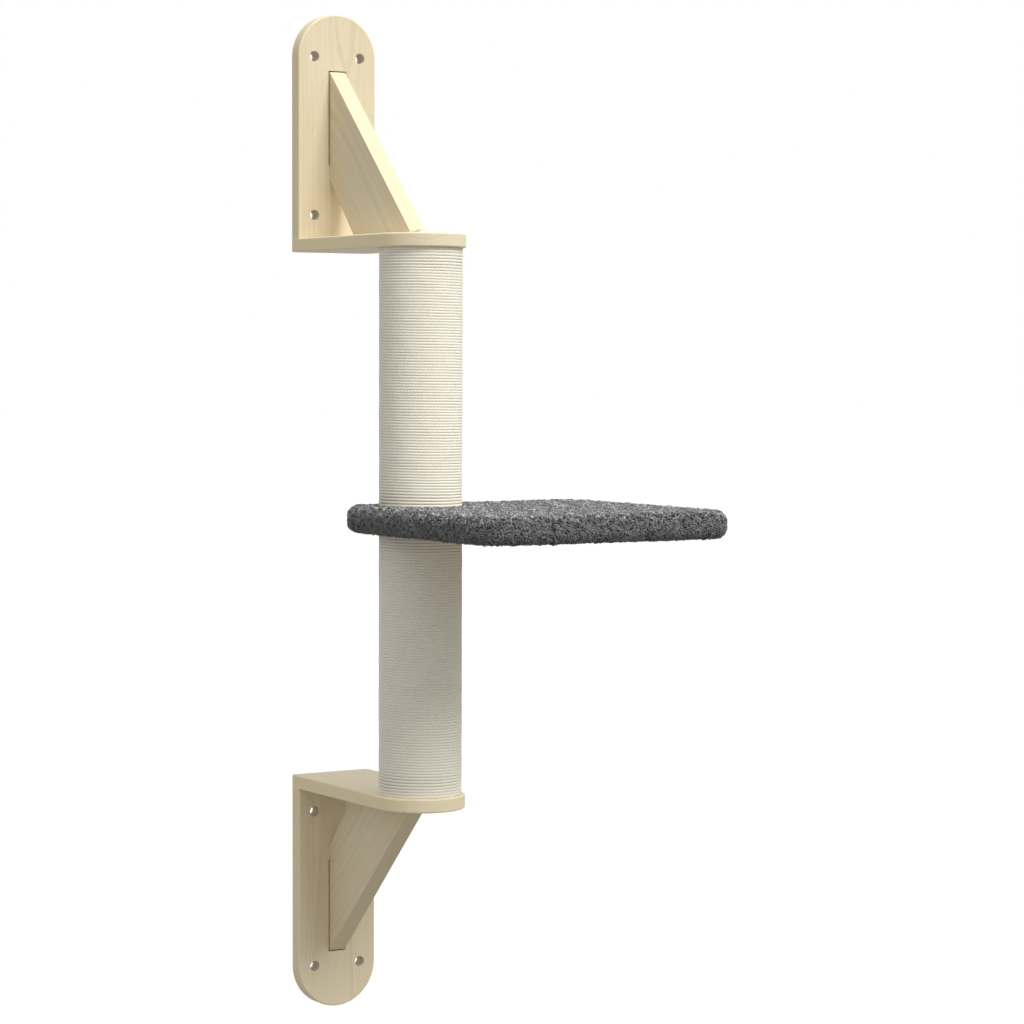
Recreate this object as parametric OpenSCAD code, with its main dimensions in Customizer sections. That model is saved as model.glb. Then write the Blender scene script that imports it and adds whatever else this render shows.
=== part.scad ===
/* [Brackets] */
// Width of the wall plates and of the arms
board_w = 95; // [84:1:120]
// Thickness of each wall plate
plate_t = 16; // [14:1:22]
// Thickness of each arm
arm_t = 15; // [12:1:22]
// Height of one bracket, from the outer face of its arm to the round end of its plate
bracket_h = 260; // [248:1:320]
// Distance from the wall to the middle of the post
post_reach = 201.5; // [200:0.5:240]
// Rounding of the long edges of the plates and arms
board_edge_r = 2; // [0.5:0.5:4]

/* [Braces] */
// Thickness of each brace
brace_t = 19; // [16:1:24]
// Gap between the brace's toe and the head of the post bolt
brace_bolt_gap = 0.5; // [0.3:0.1:6]
// Height of the brace's inner side above the arm, on the plate
brace_rise = 65; // [50:1:75]
// Distance of the brace's inner side from the plate, on the arm
brace_run = 57; // [45:1:65]
// Height of the brace's blunt toe on the arm
brace_toe = 4; // [3:0.5:12]
// Height of the brace's shoulder below its tenon
tenon_shoulder = 17; // [8:1:30]
// Depth of the slot for the tenon
slot_depth = 8; // [5:0.5:10]
// Play round the tenon in its slot
slot_play = 1.3; // [0.5:0.1:2]

/* [Wall holes] */
// Diameter of each screw hole for the wall
hole_d = 11; // [6:0.5:13]
// Distance between the holes, across the plate
hole_pitch_x = 56; // [50:1:60]
// Distance between the holes, up the plate
hole_pitch_z = 172.5; // [160:0.5:176]
// Distance from the round end of the plate to the first pair of holes
hole_end = 47; // [40:1:50]
// Width of the bevel round each hole
hole_bevel = 0.6; // [0.2:0.1:1.5]

/* [Post] */
// Distance between the two arms
post_l = 575; // [400:5:800]
// Outer diameter of the tube in the post
tube_d = 82; // [70:1:84]
// Wall of the tube
tube_wall = 3; // [2:0.5:5]
// Thickness of the wooden plug in each end of a tube
plug_t = 20; // [18:1:30]
// Diameter of the rope
rope_d = 2.5; // [2.2:0.1:3]
// Groove between one turn of the rope and the next
rope_groove = 0.46; // [0.42:0.02:0.8]
// Gap between the rope and the tube
rope_seat = 0.5; // [0.45:0.05:0.7]
// Turns of each rope that are shown one by one
rope_turns = 15; // [4:1:15]

/* [Platform] */
// Width of the platform over its plush
platform_w = 303; // [260:1:360]
// Depth of the platform over its plush
platform_d = 311; // [260:1:360]
// Distance from the platform's left side to the middle of the post
platform_left = 72; // [66:1:100]
// Distance from the platform's back to the middle of the post
platform_back = 55.5; // [55:0.5:100]
// Thickness of the board in the platform
panel_t = 15; // [12:1:22]
// Thickness of the plush on top of the board
plush_top = 9; // [5:0.5:12]
// Thickness of the plush round the sides of the board
plush_side = 8; // [5:0.5:10]
// Thickness of the plush that is turned under the board
plush_under = 3; // [2:0.5:5]
// Width of the plush that is turned under the board
plush_turn = 32; // [20:1:45]
// Radius of the platform's upright corners
platform_corner_r = 36; // [26:1:50]
// Rounding of the platform's rim
platform_edge_r = 11; // [6:0.5:12]

/* [Fixings] */
// Diameter of the post bolts and of the stud
bolt_d = 8; // [6:1:8]
// Length of each post bolt under its head
bolt_l = 30; // [28:1:34]
// Diameter of the bolt's domed head
bolt_head_d = 14; // [12:1:16]
// Height of the bolt's head
bolt_head_h = 4.4; // [3.5:0.1:5]
// Height of the head's upright edge, below its dome
bolt_head_edge = 0.9; // [0.5:0.1:1.5]
// Diameter of the flat on top of the head
bolt_head_flat = 7.2; // [6.5:0.1:8]
// Width of the head's hexagon socket across its flats
bolt_socket_w = 5; // [4:0.5:5.5]
// Depth of the socket
bolt_socket_depth = 2.6; // [2:0.1:3]
// Diameter of each threaded insert
insert_d = 11; // [10.5:0.5:14]
// Length of each threaded insert
insert_l = 13; // [10:1:16]
// Length of the stud that joins the two halves of the post
stud_l = 50; // [40:1:52]
// Diameter of the dowels
dowel_d = 8; // [6:1:8]
// Length of the dowels
dowel_l = 30; // [26:1:32]
// Diameter of the screws that hold the braces to the plates
screw_d = 4; // [3:0.5:5]
// Length of these screws
screw_l = 30; // [26:1:32]
// Diameter of their countersunk heads
screw_head_d = 8; // [7:0.5:9]

/* [Hidden] */

$fn = 96;

// Clearance round glued and pressed pieces
glue_gap = 0.1;
// Clearance round the bolts, and round the soft pieces
free_gap = 0.3;
// How far each cut runs past the face that it opens
overrun = 1;

// Boards, with the inner corner of a bracket as their origin
round_r = board_w / 2;
plate_l = bracket_h - arm_t;
arm_l = post_reach + round_r;

// The brace's outer side runs as far along the plate as along the arm, where its toe ends at the bolt
brace_leg = post_reach - plate_t - bolt_head_d / 2 - brace_bolt_gap + brace_toe;
tenon_l = brace_leg - brace_rise - tenon_shoulder;

// Levels, with the middle of the lower plate's four holes as the origin
whole_h = 2 * bracket_h + post_l;
hole_mid = hole_end + hole_pitch_z / 2;
lower_inner_z = plate_l - hole_mid;
upper_inner_z = whole_h - hole_mid - plate_l;
post_bottom_z = lower_inner_z + arm_t;
post_top_z = upper_inner_z - arm_t;
half_l = (post_l - panel_t) / 2;
panel_z = post_bottom_z + half_l;
upper_half_z = panel_z + panel_t;

// Dowels stand a third of their length in the arm
dowel_in_arm = dowel_l / 3;
plate_dowel_x = round_r - dowel_d;
brace_dowel_shares = [0.25, 0.7];
screw_level_shares = [0.25, 0.75];

// The rope lies round the tube
tube_r = tube_d / 2;
rope_r = tube_r + rope_seat + rope_d / 2;
post_r = rope_r + rope_d / 2;
turn_h = rope_d + rope_groove;
ring_count = 24;
side_count = 6;
rope_band_h = 2 * turn_h;
rope_stop_angle = 18;
rope_stop_t = rope_d - glue_gap;
lead_angle = atan(rope_d / rope_r);

// The board of the platform
panel_w = platform_w - 2 * plush_side;
panel_d = platform_d - 2 * plush_side;
panel_corner_r = platform_corner_r - plush_side;
platform_t = plush_under + panel_t + plush_top;
platform_x = platform_w / 2 - platform_left;
platform_y = platform_back - platform_d / 2 - post_reach;

pine = [0.86, 0.76, 0.58];
brace_pine = [0.82, 0.71, 0.52];
sisal = [0.85, 0.81, 0.70];
plush_grey = [0.27, 0.27, 0.28];
zinc = [0.75, 0.76, 0.78];
beech = [0.78, 0.62, 0.42];
kraft = [0.66, 0.52, 0.36];

// Carries a piece from the corner of a bracket to the upper bracket
module at_upper() {
    translate([0, 0, upper_inner_z]) children();
}

// Carries a piece from the corner of a bracket to the lower bracket, upside down
module at_lower() {
    translate([0, 0, lower_inner_z]) mirror([0, 0, 1]) children();
}

// Moves a piece to the middle of the post
module on_post(z) {
    translate([0, -post_reach, z]) children();
}

// Cross-section of a board with rounded edges at its front and, unless back_r is 0, at its back
module board_section(t, front_r, back_r) {
    translate([-round_r, front_r - t]) square([board_w, t - front_r - back_r]);
    rounded_strip(front_r - t, front_r, -1);
    if (back_r > 0) rounded_strip(-back_r, back_r, 1);
}

// Two rounded edges of radius r, whose centres lie at y, with the strip between them on this side
module rounded_strip(y, r, side) {
    translate([r - round_r, side < 0 ? y - r : y]) square([board_w - 2 * r, r]);
    for (x = [r - round_r, round_r - r]) translate([x, y]) circle(r = r);
}

// A board that stands up from z = 0, with its back at y = 0 and a round top end
module round_end_board(l, t, back_r) {
    straight_l = l - round_r;
    linear_extrude(height = straight_l) board_section(t, board_edge_r, back_r);
    translate([0, 0, straight_l]) rotate([-90, 0, 0]) rotate([0, 0, 180])
        rotate_extrude(angle = 180) intersection() {
            board_section(t, board_edge_r, back_r);
            translate([0, -t]) square([round_r, t]);
        }
}

// A wall hole with its bevel, drilled from the front of the plate at the origin
module wall_hole() {
    rotate([-90, 0, 0]) {
        translate([0, 0, -overrun]) cylinder(h = plate_t + 2 * overrun, d = hole_d);
        cylinder(h = hole_bevel, d1 = hole_d + 2 * hole_bevel, d2 = hole_d);
    }
}

// Height on the plate of the brace screw with this share of the tenon's length
function screw_level(share) = brace_leg - share * tenon_l;

// Distance from the plate of the brace dowel with this share of the brace's foot
function dowel_out(share) = brace_run + share * (brace_leg - brace_run);

// A countersunk screw that runs out from the wall, made wider all round by gap
module brace_screw(gap) {
    shank_r = screw_d / 2 + gap;
    head_r = screw_head_d / 2 + gap;
    tip_l = screw_d;
    rotate([90, 0, 0]) rotate_extrude() polygon([[0, 0], [head_r, 0], [shank_r, head_r - shank_r],
        [shank_r, screw_l - tip_l], [0, screw_l + gap]]);
}

// The two screws of a brace
module brace_screws(gap) {
    for (share = screw_level_shares) translate([0, 0, screw_level(share)]) brace_screw(gap);
}

// A dowel that stands in an arm, made larger all round by gap
module dowel(gap) {
    translate([0, 0, -dowel_in_arm - gap]) cylinder(h = dowel_l + 2 * gap, d = dowel_d + 2 * gap);
}

// The two dowels between a plate and its arm
module plate_dowels(gap) {
    for (x = [-plate_dowel_x, plate_dowel_x]) translate([x, -plate_t / 2, 0]) dowel(gap);
}

// The two dowels between a brace and its arm
module brace_dowels(gap) {
    for (share = brace_dowel_shares) translate([0, -plate_t - dowel_out(share), 0]) dowel(gap);
}

// A wall plate with its four wall holes and the slot for the brace
module wall_plate() {
    difference() {
        round_end_board(plate_l, plate_t, 0);
        for (x = [-hole_pitch_x / 2, hole_pitch_x / 2], z = [hole_end, hole_end + hole_pitch_z])
            translate([x, -plate_t, plate_l - z]) wall_hole();
        translate([-brace_t / 2 - slot_play, -plate_t - overrun, brace_leg - tenon_l - slot_play])
            cube([brace_t + 2 * slot_play, slot_depth + overrun, tenon_l + 2 * slot_play]);
        plate_dowels(glue_gap);
        brace_screws(glue_gap);
    }
}

// An arm, which is left square on top where the plate stands on it
module arm() {
    difference() {
        union() {
            rotate([90, 0, 0]) round_end_board(arm_l, arm_t, board_edge_r);
            translate([-round_r, -plate_t, board_edge_r - arm_t])
                cube([board_w, plate_t, arm_t - board_edge_r]);
        }
        on_post(-arm_t - overrun) cylinder(h = arm_t + 2 * overrun, d = bolt_d + 2 * free_gap);
        plate_dowels(glue_gap);
        brace_dowels(glue_gap);
    }
}

// A brace: a strut from plate to arm, with a tenon at its upper end
module brace() {
    difference() {
        translate([brace_t / 2, -plate_t, 0]) rotate([90, 0, -90]) linear_extrude(height = brace_t)
            polygon([[brace_run, 0], [brace_leg - brace_toe, 0], [brace_leg - brace_toe, brace_toe],
                [0, brace_leg], [-slot_depth, brace_leg], [-slot_depth, brace_leg - tenon_l],
                [0, brace_leg - tenon_l], [0, brace_rise]]);
        brace_dowels(glue_gap);
        brace_screws(glue_gap);
    }
}

// Level of the centre of the dome that joins the head's edge to the flat on top
head_dome_z = (pow(bolt_head_flat / 2, 2) + pow(bolt_head_h, 2) - pow(bolt_head_d / 2, 2)
    - pow(bolt_head_edge, 2)) / (2 * (bolt_head_h - bolt_head_edge));
head_dome_r = norm([bolt_head_d / 2, bolt_head_edge - head_dome_z]);

// A bolt with a domed head and a hexagon socket, with the underside of its head at z = 0
module domed_bolt() {
    difference() {
        intersection() {
            cylinder(h = bolt_head_h, d = bolt_head_d);
            translate([0, 0, head_dome_z]) sphere(r = head_dome_r);
        }
        translate([0, 0, bolt_head_h - bolt_socket_depth])
            cylinder(h = bolt_socket_depth + overrun, d = bolt_socket_w / cos(30), $fn = 6);
    }
    translate([0, 0, -bolt_l]) cylinder(h = bolt_l, d = bolt_d);
}

// The tube in one half of the post
module post_tube() {
    difference() {
        cylinder(h = half_l, r = tube_r);
        translate([0, 0, -overrun]) cylinder(h = half_l + 2 * overrun, r = tube_r - tube_wall);
    }
}

// A plug for the end of a tube, drilled for a threaded insert
module plug() {
    difference() {
        cylinder(h = plug_t, r = tube_r - tube_wall - glue_gap);
        translate([0, 0, -overrun])
            cylinder(h = plug_t + 2 * overrun, d = insert_d + 2 * glue_gap);
    }
}

// A threaded insert with a plain bore
module threaded_insert() {
    difference() {
        cylinder(h = insert_l, d = insert_d);
        translate([0, 0, -overrun]) cylinder(h = insert_l + 2 * overrun, d = bolt_d + 2 * glue_gap);
    }
}

// Height of the rope's middle below its start: it falls a turn's height each turn, and its ends are level
function rope_fall(angle) =
    turn_h / 360 * (min(max(angle, lead_angle), rope_turns * 360 - lead_angle) - lead_angle);

// One ring of the rope, square to its path, at this angle round the post and this far along the tangent
function rope_ring(angle, along) =
    let (out = [cos(angle), sin(angle), 0],
        run = [-sin(angle), cos(angle), 0],
        up = [0, 0, 1],
        middle = rope_r * out + along * run - rope_fall(angle) * up)
    [for (k = [0 : side_count - 1])
        let (turn = k * 360 / side_count) middle + rope_d / 2 * (cos(turn) * up + sin(turn) * out)];

// All rings of one rope, which runs straight for a diameter at each end
rope_rings = concat(
    [rope_ring(0, 0), rope_ring(0, rope_d)],
    [for (i = [1 : rope_turns * ring_count - 1]) rope_ring(i * 360 / ring_count, 0)],
    [rope_ring(rope_turns * 360, -rope_d), rope_ring(rope_turns * 360, 0)]);

// Height that the turns of one rope take up, from the middle of its start to the middle of its end
rope_fall_h = rope_fall(rope_turns * 360);

// Least distance between two rings' points
function ring_gap(a, b) = min([for (p = rope_rings[a], q = rope_rings[b]) norm(p - q)]);

// Least gap of the rope to itself, measured on the points of each ring and of the rings one turn on
last_start = len(rope_rings) - ring_count - 2;
rope_self_gap = min([for (i = [0 : last_start], step = [ring_count - 1 : ring_count + 1])
    ring_gap(i, i + step)]);
echo("least gap of the rope to itself, in mm", rope_self_gap);

// Triangles between one ring of points and the next, and over both ends
function rope_faces(rings, sides) = concat(
    [for (i = [0 : rings - 2], k = [0 : sides - 1])
        let (a = i * sides + k, b = i * sides + (k + 1) % sides)
        each [[a, a + sides, b], [b, a + sides, b + sides]]],
    [for (k = [1 : sides - 2]) [0, k, k + 1]],
    [for (k = [1 : sides - 2]) let (last = (rings - 1) * sides) [last, last + k + 1, last + k]]);

// The turns of rope that lie one by one, from the middle of the rope's start
module rope_coil() {
    polyhedron(points = [for (ring = rope_rings) each ring],
        faces = rope_faces(len(rope_rings), side_count));
}

// A plain band of the winding, from this height up
module rope_band(z, h) {
    translate([0, 0, z]) difference() {
        cylinder(h = h, r = post_r);
        translate([0, 0, -overrun]) cylinder(h = h + 2 * overrun, r = tube_r + glue_gap);
    }
}

// The short stretch of winding that an end of the coil runs into, which is let into a plain band
module rope_stop(z, h, start_angle) {
    translate([0, 0, z]) rotate([0, 0, start_angle]) rotate_extrude(angle = rope_stop_angle)
        translate([rope_r - rope_stop_t / 2, 0]) square([rope_stop_t, h]);
}

// The rope on one half of the post: plain bands, with a coil of single turns between them
module post_rope() {
    stop_h = rope_d + rope_groove + overrun;
    coil_start_z = half_l - rope_band_h - rope_groove - rope_d / 2;
    coil_end_z = coil_start_z - rope_fall_h;
    lower_band_h = coil_end_z - rope_d / 2 - rope_groove;
    rope_band(half_l - rope_band_h, rope_band_h);
    rope_stop(coil_start_z - rope_d / 2, stop_h, -rope_stop_angle);
    translate([0, 0, coil_start_z]) rope_coil();
    rope_stop(lower_band_h - overrun, stop_h, 0);
    rope_band(0, lower_band_h);
}

// Outline of half a slab's section, from its middle out to a rounded rim
module slab_section(reach) {
    square([reach - platform_edge_r, platform_t]);
    translate([0, platform_edge_r]) square([reach, platform_t - 2 * platform_edge_r]);
    for (z = [platform_edge_r, platform_t - platform_edge_r])
        translate([reach - platform_edge_r, z]) circle(r = platform_edge_r);
}

// The whole padded slab on z = 0, with upright round corners and a rounded rim
module padded_slab() {
    corner_x = platform_w / 2 - platform_corner_r;
    corner_y = platform_d / 2 - platform_corner_r;
    for (turn = [0, 180]) rotate([0, 0, turn]) {
        translate([0, corner_y, 0]) rotate([90, 0, 0]) linear_extrude(height = 2 * corner_y)
            slab_section(platform_w / 2);
        translate([-corner_x, corner_y, 0]) rotate([90, 0, 90]) linear_extrude(height = 2 * corner_x)
            slab_section(platform_corner_r);
        for (side = [0, 1]) mirror([side, 0, 0]) translate([corner_x, corner_y, 0])
            rotate_extrude(angle = 90) slab_section(platform_corner_r);
    }
}

// A flat board shape with round corners, on z = 0, made larger all round by gap
module round_corner_panel(w, d, h, corner_r, gap) {
    r = corner_r + gap;
    linear_extrude(height = h) {
        square([w + 2 * gap, d + 2 * gap - 2 * r], center = true);
        square([w + 2 * gap - 2 * r, d + 2 * gap], center = true);
        for (x = [-1, 1], y = [-1, 1])
            translate([x * (w / 2 + gap - r), y * (d / 2 + gap - r)]) circle(r = r);
    }
}

// Moves a piece to the middle of the platform, at the underside of its board
module on_platform() {
    translate([platform_x, platform_y, panel_z]) children();
}

module upper_wall_plate() {
    color(pine) at_upper() wall_plate();
}

module upper_arm() {
    color(pine) at_upper() arm();
}

module upper_brace() {
    color(brace_pine) at_upper() brace();
}

module upper_plate_dowels() {
    color(beech) at_upper() plate_dowels(0);
}

module upper_brace_dowels() {
    color(beech) at_upper() brace_dowels(0);
}

module upper_brace_screws() {
    color(zinc) at_upper() brace_screws(0);
}

module lower_wall_plate() {
    color(pine) at_lower() wall_plate();
}

module lower_arm() {
    color(pine) at_lower() arm();
}

module lower_brace() {
    color(brace_pine) at_lower() brace();
}

module lower_plate_dowels() {
    color(beech) at_lower() plate_dowels(0);
}

module lower_brace_dowels() {
    color(beech) at_lower() brace_dowels(0);
}

module lower_brace_screws() {
    color(zinc) at_lower() brace_screws(0);
}

module upper_post_bolt() {
    color(zinc) on_post(upper_inner_z) domed_bolt();
}

module lower_post_bolt() {
    color(zinc) on_post(lower_inner_z) mirror([0, 0, 1]) domed_bolt();
}

module upper_post_tube() {
    color(kraft) on_post(upper_half_z) post_tube();
}

module upper_post_rope() {
    color(sisal) on_post(upper_half_z) post_rope();
}

module upper_post_top_plug() {
    color(beech) on_post(post_top_z - plug_t) plug();
}

module upper_post_bottom_plug() {
    color(beech) on_post(upper_half_z) plug();
}

module lower_post_tube() {
    color(kraft) on_post(post_bottom_z) post_tube();
}

module lower_post_rope() {
    color(sisal) on_post(post_bottom_z) post_rope();
}

module lower_post_top_plug() {
    color(beech) on_post(panel_z - plug_t) plug();
}

module lower_post_bottom_plug() {
    color(beech) on_post(post_bottom_z) plug();
}

// One insert at the outer face of each of the four plugs
module post_threaded_inserts() {
    color(zinc) for (z = [post_bottom_z, panel_z - insert_l, upper_half_z, post_top_z - insert_l])
        on_post(z) threaded_insert();
}

// The stud goes through the board and as far into each plug beside it
module post_joining_stud() {
    color(zinc) on_post(panel_z + panel_t / 2 - stud_l / 2) cylinder(h = stud_l, d = bolt_d);
}

module platform_board() {
    color(kraft) difference() {
        on_platform() round_corner_panel(panel_w, panel_d, panel_t, panel_corner_r, 0);
        on_post(panel_z - overrun) cylinder(h = panel_t + 2 * overrun, d = bolt_d + 2 * free_gap);
    }
}

// The plush over the board's top and sides, turned under it all round and cut out round the post
module platform_cover() {
    window_w = panel_w - 2 * plush_turn;
    window_d = panel_d - 2 * plush_turn;
    color(plush_grey) difference() {
        on_platform() translate([0, 0, -plush_under]) padded_slab();
        on_platform() round_corner_panel(panel_w, panel_d, panel_t, panel_corner_r, free_gap);
        on_platform() translate([0, 0, -plush_under - overrun])
            round_corner_panel(window_w, window_d, plush_under + overrun, panel_corner_r, 0);
        on_post(upper_half_z) cylinder(h = plush_top + overrun, r = post_r + free_gap);
        on_post(panel_z - plush_under - overrun)
            cylinder(h = plush_under + overrun, r = post_r + free_gap);
    }
}

upper_wall_plate();
upper_arm();
upper_brace();
upper_plate_dowels();
upper_brace_dowels();
upper_brace_screws();
lower_wall_plate();
lower_arm();
lower_brace();
lower_plate_dowels();
lower_brace_dowels();
lower_brace_screws();
upper_post_bolt();
lower_post_bolt();
upper_post_tube();
upper_post_rope();
upper_post_top_plug();
upper_post_bottom_plug();
lower_post_tube();
lower_post_rope();
lower_post_top_plug();
lower_post_bottom_plug();
post_threaded_inserts();
post_joining_stud();
platform_board();
platform_cover();
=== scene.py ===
import math

import bpy
import numpy as np
from bpy.props import FloatProperty, FloatVectorProperty, IntProperty, PointerProperty
from bpy.types import Operator, Panel, PropertyGroup
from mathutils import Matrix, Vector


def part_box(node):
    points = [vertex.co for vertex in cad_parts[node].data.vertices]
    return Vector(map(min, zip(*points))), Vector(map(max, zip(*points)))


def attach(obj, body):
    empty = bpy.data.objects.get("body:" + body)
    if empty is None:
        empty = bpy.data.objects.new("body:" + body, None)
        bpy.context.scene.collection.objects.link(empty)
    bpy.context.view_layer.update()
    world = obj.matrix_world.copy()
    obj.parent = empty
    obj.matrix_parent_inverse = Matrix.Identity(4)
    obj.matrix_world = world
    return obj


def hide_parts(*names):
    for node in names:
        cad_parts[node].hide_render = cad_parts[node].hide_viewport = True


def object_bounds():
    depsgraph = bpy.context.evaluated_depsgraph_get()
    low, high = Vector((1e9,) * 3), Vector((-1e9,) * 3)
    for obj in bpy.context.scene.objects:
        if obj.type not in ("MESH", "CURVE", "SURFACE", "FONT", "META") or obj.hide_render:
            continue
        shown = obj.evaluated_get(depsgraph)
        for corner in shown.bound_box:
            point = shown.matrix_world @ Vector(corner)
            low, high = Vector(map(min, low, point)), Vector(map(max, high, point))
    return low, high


bl_info = {
    "name": "Wall Mounted Cat Tree",
    "version": (1, 0, 0),
    "blender": (4, 5, 0),
    "location": "3D View > Sidebar > Cat Tree",
    "description": "Dresses the packed cat tree in pine, wound sisal, plush and zinc",
    "category": "Add Mesh",
}

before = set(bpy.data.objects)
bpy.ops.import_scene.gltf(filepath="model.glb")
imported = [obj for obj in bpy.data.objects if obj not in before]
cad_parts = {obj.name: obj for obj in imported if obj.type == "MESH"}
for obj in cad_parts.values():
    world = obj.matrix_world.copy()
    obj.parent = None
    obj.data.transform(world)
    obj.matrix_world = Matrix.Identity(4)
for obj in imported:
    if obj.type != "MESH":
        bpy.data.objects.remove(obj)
CAD_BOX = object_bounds()

# a wall plate's four screw holes, in metres: half their spacing across and along the plate, the
# distance from their middle to the round end, and their radius
HOLE_ACROSS, HOLE_ALONG, HOLES_TO_END, HOLE_RADIUS = 0.028, 0.08625, 0.13325, 0.0055
# the lighter band along a board's edge, partly sanded wear and partly a painted highlight, in
# metres: how far inside the edge it begins and is full
EDGE_WEAR_AND_HIGHLIGHT_FROM, EDGE_WEAR_AND_HIGHLIGHT_FULL = 0.0026, 0.0006
# turns until the winding falls evenly, and the share of a turn in which its level first turn steps
# down to the next. The rope also runs on for that share before its first and past its last turn
SETTLE_TURNS, STEP_OVER = 8, 0.12
# the gap between the post and the cloth round it, in metres
POST_GAP = 0.0011
# heights and widths of a tuft at its root, higher up and at its tip, as shares
TUFT_HEIGHTS, TUFT_WIDTHS = np.array([0.0, 0.84, 1.0]), np.array([0.9, 1.0, 0.0])
# cloth whose normal points down by more than this lies under the board
UNDER = -0.9


def linear(red, green, blue):
    """A screen colour from 0 to 255 as the linear colour that shaders use."""
    parts = np.array([red, green, blue]) / 255
    return tuple(np.where(parts <= 0.04045, parts / 12.92, ((parts + 0.055) / 1.055) ** 2.4))


def colour(name, description, red, green, blue):
    return FloatVectorProperty(
        name=name, description=description, subtype="COLOR", size=3, min=0.0, max=1.0,
        default=linear(red, green, blue),
    )


def length(name, description, default, low, high):
    return FloatProperty(
        name=name, description=description, unit="LENGTH", precision=5,
        default=default, min=low, max=high,
    )


def number(name, description, default, low, high):
    return FloatProperty(name=name, description=description, default=default, min=low, max=high)


def whole(name, description, default, low, high):
    return IntProperty(name=name, description=description, default=default, min=low, max=high)


def angle(name, description, degrees, low=-math.pi, high=math.pi):
    return FloatProperty(
        name=name, description=description, subtype="ANGLE",
        default=math.radians(degrees), min=low, max=high,
    )


def direction(name, x, y, z):
    return FloatVectorProperty(
        name=name, description="From the object towards it", subtype="DIRECTION", size=3,
        default=(x, y, z),
    )


# Shader writing


class Wire:
    """A value inside a finish. A sum or product of wires adds its Math nodes."""

    def __init__(self, finish, socket):
        self.finish, self.socket = finish, socket

    def __add__(self, other):
        return self.finish.math("ADD", self, other)

    def __sub__(self, other):
        return self.finish.math("SUBTRACT", self, other)

    def __rsub__(self, other):
        return self.finish.math("SUBTRACT", other, self)

    def __mul__(self, other):
        return self.finish.math("MULTIPLY", self, other)

    def __truediv__(self, other):
        return self.finish.math("DIVIDE", self, other)

    def __pow__(self, other):
        return self.finish.math("POWER", self, other)

    def __abs__(self):
        return self.finish.math("ABSOLUTE", self)

    __radd__ = __add__
    __rmul__ = __mul__


class Finish:
    """A node tree being written for one finish."""

    def __init__(self, owner):
        owner.use_nodes = True
        self.owner, self.tree = owner, owner.node_tree
        self.tree.nodes.clear()

    def add(self, kind, settings=None, inputs=None, output=0):
        """A node of this type. Its settings are set first, then its sockets' values or wires."""
        node = self.tree.nodes.new(kind)
        for key, value in (settings or {}).items():
            if key != "stops":
                setattr(node, key, value)
                continue
            stops = node.color_ramp.elements
            for spot, (place, paint) in enumerate(value):
                stop = stops[spot] if spot < 2 else stops.new(place)
                stop.position, stop.color = place, (*paint, 1.0)
        for key, value in (inputs or {}).items():
            if isinstance(value, Wire):
                self.tree.links.new(value.socket, node.inputs[key])
            elif value is not None:
                node.inputs[key].default_value = value
        return Wire(self, node.outputs[output]) if node.outputs else None

    def math(self, operation, first, second=None):
        return self.add("ShaderNodeMath", {"operation": operation}, {0: first, 1: second})

    def place(self):
        return self.add("ShaderNodeTexCoord", output="Object")

    def uv(self, name):
        return self.add("ShaderNodeUVMap", {"uv_map": name})

    def split(self, vector):
        outputs = self.add("ShaderNodeSeparateXYZ", inputs={0: vector}).socket.node.outputs
        return [Wire(self, outputs[axis]) for axis in range(3)]

    def join(self, x, y, z):
        return self.add("ShaderNodeCombineXYZ", inputs={0: x, 1: y, 2: z})

    def less(self, vector, centre):
        return self.add("ShaderNodeVectorMath", {"operation": "SUBTRACT"}, {0: vector, 1: centre})

    def dot(self, vector, axis):
        settings = {"operation": "DOT_PRODUCT"}
        return self.add("ShaderNodeVectorMath", settings, {0: vector, 1: axis}, "Value")

    def noise(self, where, scale, detail=2.0, rough=0.5):
        sockets = {"Vector": where, "Scale": scale, "Detail": detail, "Roughness": rough}
        return self.add("ShaderNodeTexNoise", inputs=sockets)

    def cells(self, where, scale):
        """A random colour for each cell about scattered points."""
        sockets = {"Vector": where, "Scale": scale}
        return self.add("ShaderNodeTexVoronoi", inputs=sockets, output="Color")

    def rise(self, value, low, high):
        """0 below low, 1 above high, and a smooth step between."""
        return self.add(
            "ShaderNodeMapRange",
            {"interpolation_type": "SMOOTHSTEP"},
            {"Value": value, "From Min": low, "From Max": high},
        )

    def ramp(self, value, stops):
        """Colours at places from 0 to 1. The first two stops are those that a new ramp has."""
        return self.add("ShaderNodeValToRGB", {"stops": stops}, {0: value})

    def mix(self, share, first, second):
        first, second = (c if isinstance(c, Wire) else (*c, 1.0) for c in (first, second))
        settings = {"data_type": "RGBA", "clamp_result": True}
        return self.add("ShaderNodeMix", settings, {0: share, 6: first, 7: second}, 2)

    def coats(self, body, coats):
        """The body colour under these coats, each a share and a colour."""
        for share, paint in coats:
            body = self.mix(share, body, paint)
        return body

    def bump(self, height, depth, strength):
        sockets = {"Height": height, "Distance": depth, "Strength": strength}
        return self.add("ShaderNodeBump", inputs=sockets)

    def seen(self):
        """1 for what the camera sees, also in a mirror or through glass, and 0 for lighting."""
        path = self.add("ShaderNodeLightPath").socket.node.outputs
        camera, glossy, through = (
            Wire(self, path[name])
            for name in ("Is Camera Ray", "Is Glossy Ray", "Is Transmission Ray")
        )
        return self.math("MINIMUM", camera + glossy + through, 1.0)

    def surface(self, **sockets):
        """Closes the finish with a Principled shader, its sockets named with underscores."""
        named = {key.replace("_", " "): value for key, value in sockets.items()}
        shader = self.add("ShaderNodeBsdfPrincipled", inputs=named, output="BSDF")
        self.add("ShaderNodeOutputMaterial", inputs={"Surface": shader})
        return self.owner


def finish(name):
    return Finish(bpy.data.materials.new(name))


# Finishes


def toned(paint, share):
    """A colour made lighter or darker."""
    return tuple(np.array(paint) * share)


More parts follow.
